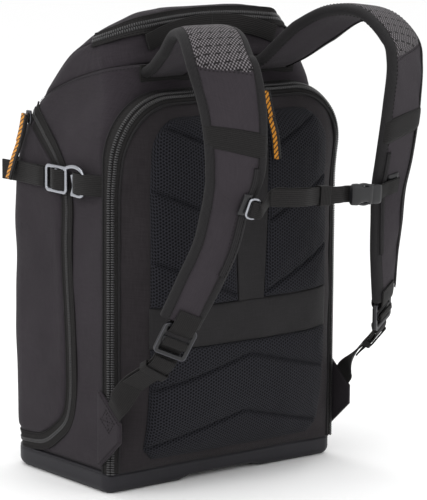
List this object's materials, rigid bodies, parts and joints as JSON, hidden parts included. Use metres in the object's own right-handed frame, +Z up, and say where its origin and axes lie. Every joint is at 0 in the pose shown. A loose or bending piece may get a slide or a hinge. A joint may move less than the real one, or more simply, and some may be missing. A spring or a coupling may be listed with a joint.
{
  "type": "camera backpack",
  "caption": "Upright camera backpack with a zipped back door, padded harness, zipped lid, front pocket, sternum strap and a hooked side compression strap.",
  "frame": {"origin": "centre of the underside of the moulded base, where the bag stands on the floor", "axes": "+Z up, -Y towards the harness that lies on the wearer's back, +Y towards the front pocket, +X to the right of someone who looks at the harness"},
  "size_m": [0.3292, 0.3542, 0.4964],
  "materials": {
    "moulded_base": "satin moulded dark grey",
    "shell_cloth": "plain weave nylon, warm dark grey",
    "door_cloth": "plain weave nylon over a foam panel",
    "air_mesh": "knitted air mesh over foam",
    "sleeve_cloth": "smooth fine cloth",
    "zip": "coil zip on woven tape",
    "strap_cloth": "plain weave nylon over foam",
    "strap_rail": "covered rail",
    "bright_metal": "bright rounded bars",
    "dark_metal": "dark painted zip slider",
    "pull_cord": "woven two-colour pull",
    "buckle_plastic": "moulded black",
    "webbing": "ribbed webbing"
  },
  "bodies": {
    "root": {"base_tray": "moulded_base", "body_shell": "shell_cloth", "cap_gusset": "shell_cloth", "lid": "shell_cloth", "front_pocket": "shell_cloth", "pocket_zip": "zip", "lid_zip": "zip", "cap_rear_band": "webbing", "back_door": "door_cloth", "door_zip_tape": "zip", "door_zip_coil": "zip", "upper_pad_left": "air_mesh", "upper_pad_right": "air_mesh", "centre_channel": "sleeve_cloth", "luggage_band": "sleeve_cloth", "lower_pad": "air_mesh", "yoke_webbing": "webbing", "wing_left": "shell_cloth", "wing_right": "shell_cloth", "shoulder_strap_left": "strap_cloth", "shoulder_strap_right": "strap_cloth", "strap_band_left": "webbing", "strap_band_right": "webbing", "strap_rail_left": "strap_rail", "strap_rail_right": "strap_rail", "ladder_buckle_left": "buckle_plastic", "ladder_buckle_right": "buckle_plastic", "strap_anchor_left": "webbing", "strap_anchor_right": "webbing", "lower_webbing_left": "webbing", "lower_webbing_right": "webbing", "webbing_tail_left": "webbing", "webbing_tail_right": "webbing", "webbing_keeper_left": "webbing", "webbing_keeper_right": "webbing", "sternum_slider_left": "buckle_plastic", "sternum_ring_left": "bright_metal", "sternum_webbing_left": "webbing", "sternum_loop": "webbing", "sternum_keeper": "webbing", "sternum_socket": "buckle_plastic", "sternum_plug": "buckle_plastic", "sternum_slider_right": "buckle_plastic", "sternum_webbing_right": "webbing", "compression_front": "webbing", "compression_hook": "bright_metal", "compression_side": "webbing", "compression_tail": "webbing", "compression_rear": "webbing", "door_slider": "dark_metal", "door_pull": "pull_cord", "pocket_slider": "dark_metal", "pocket_pull": "pull_cord"}
  },
  "joints": []
}
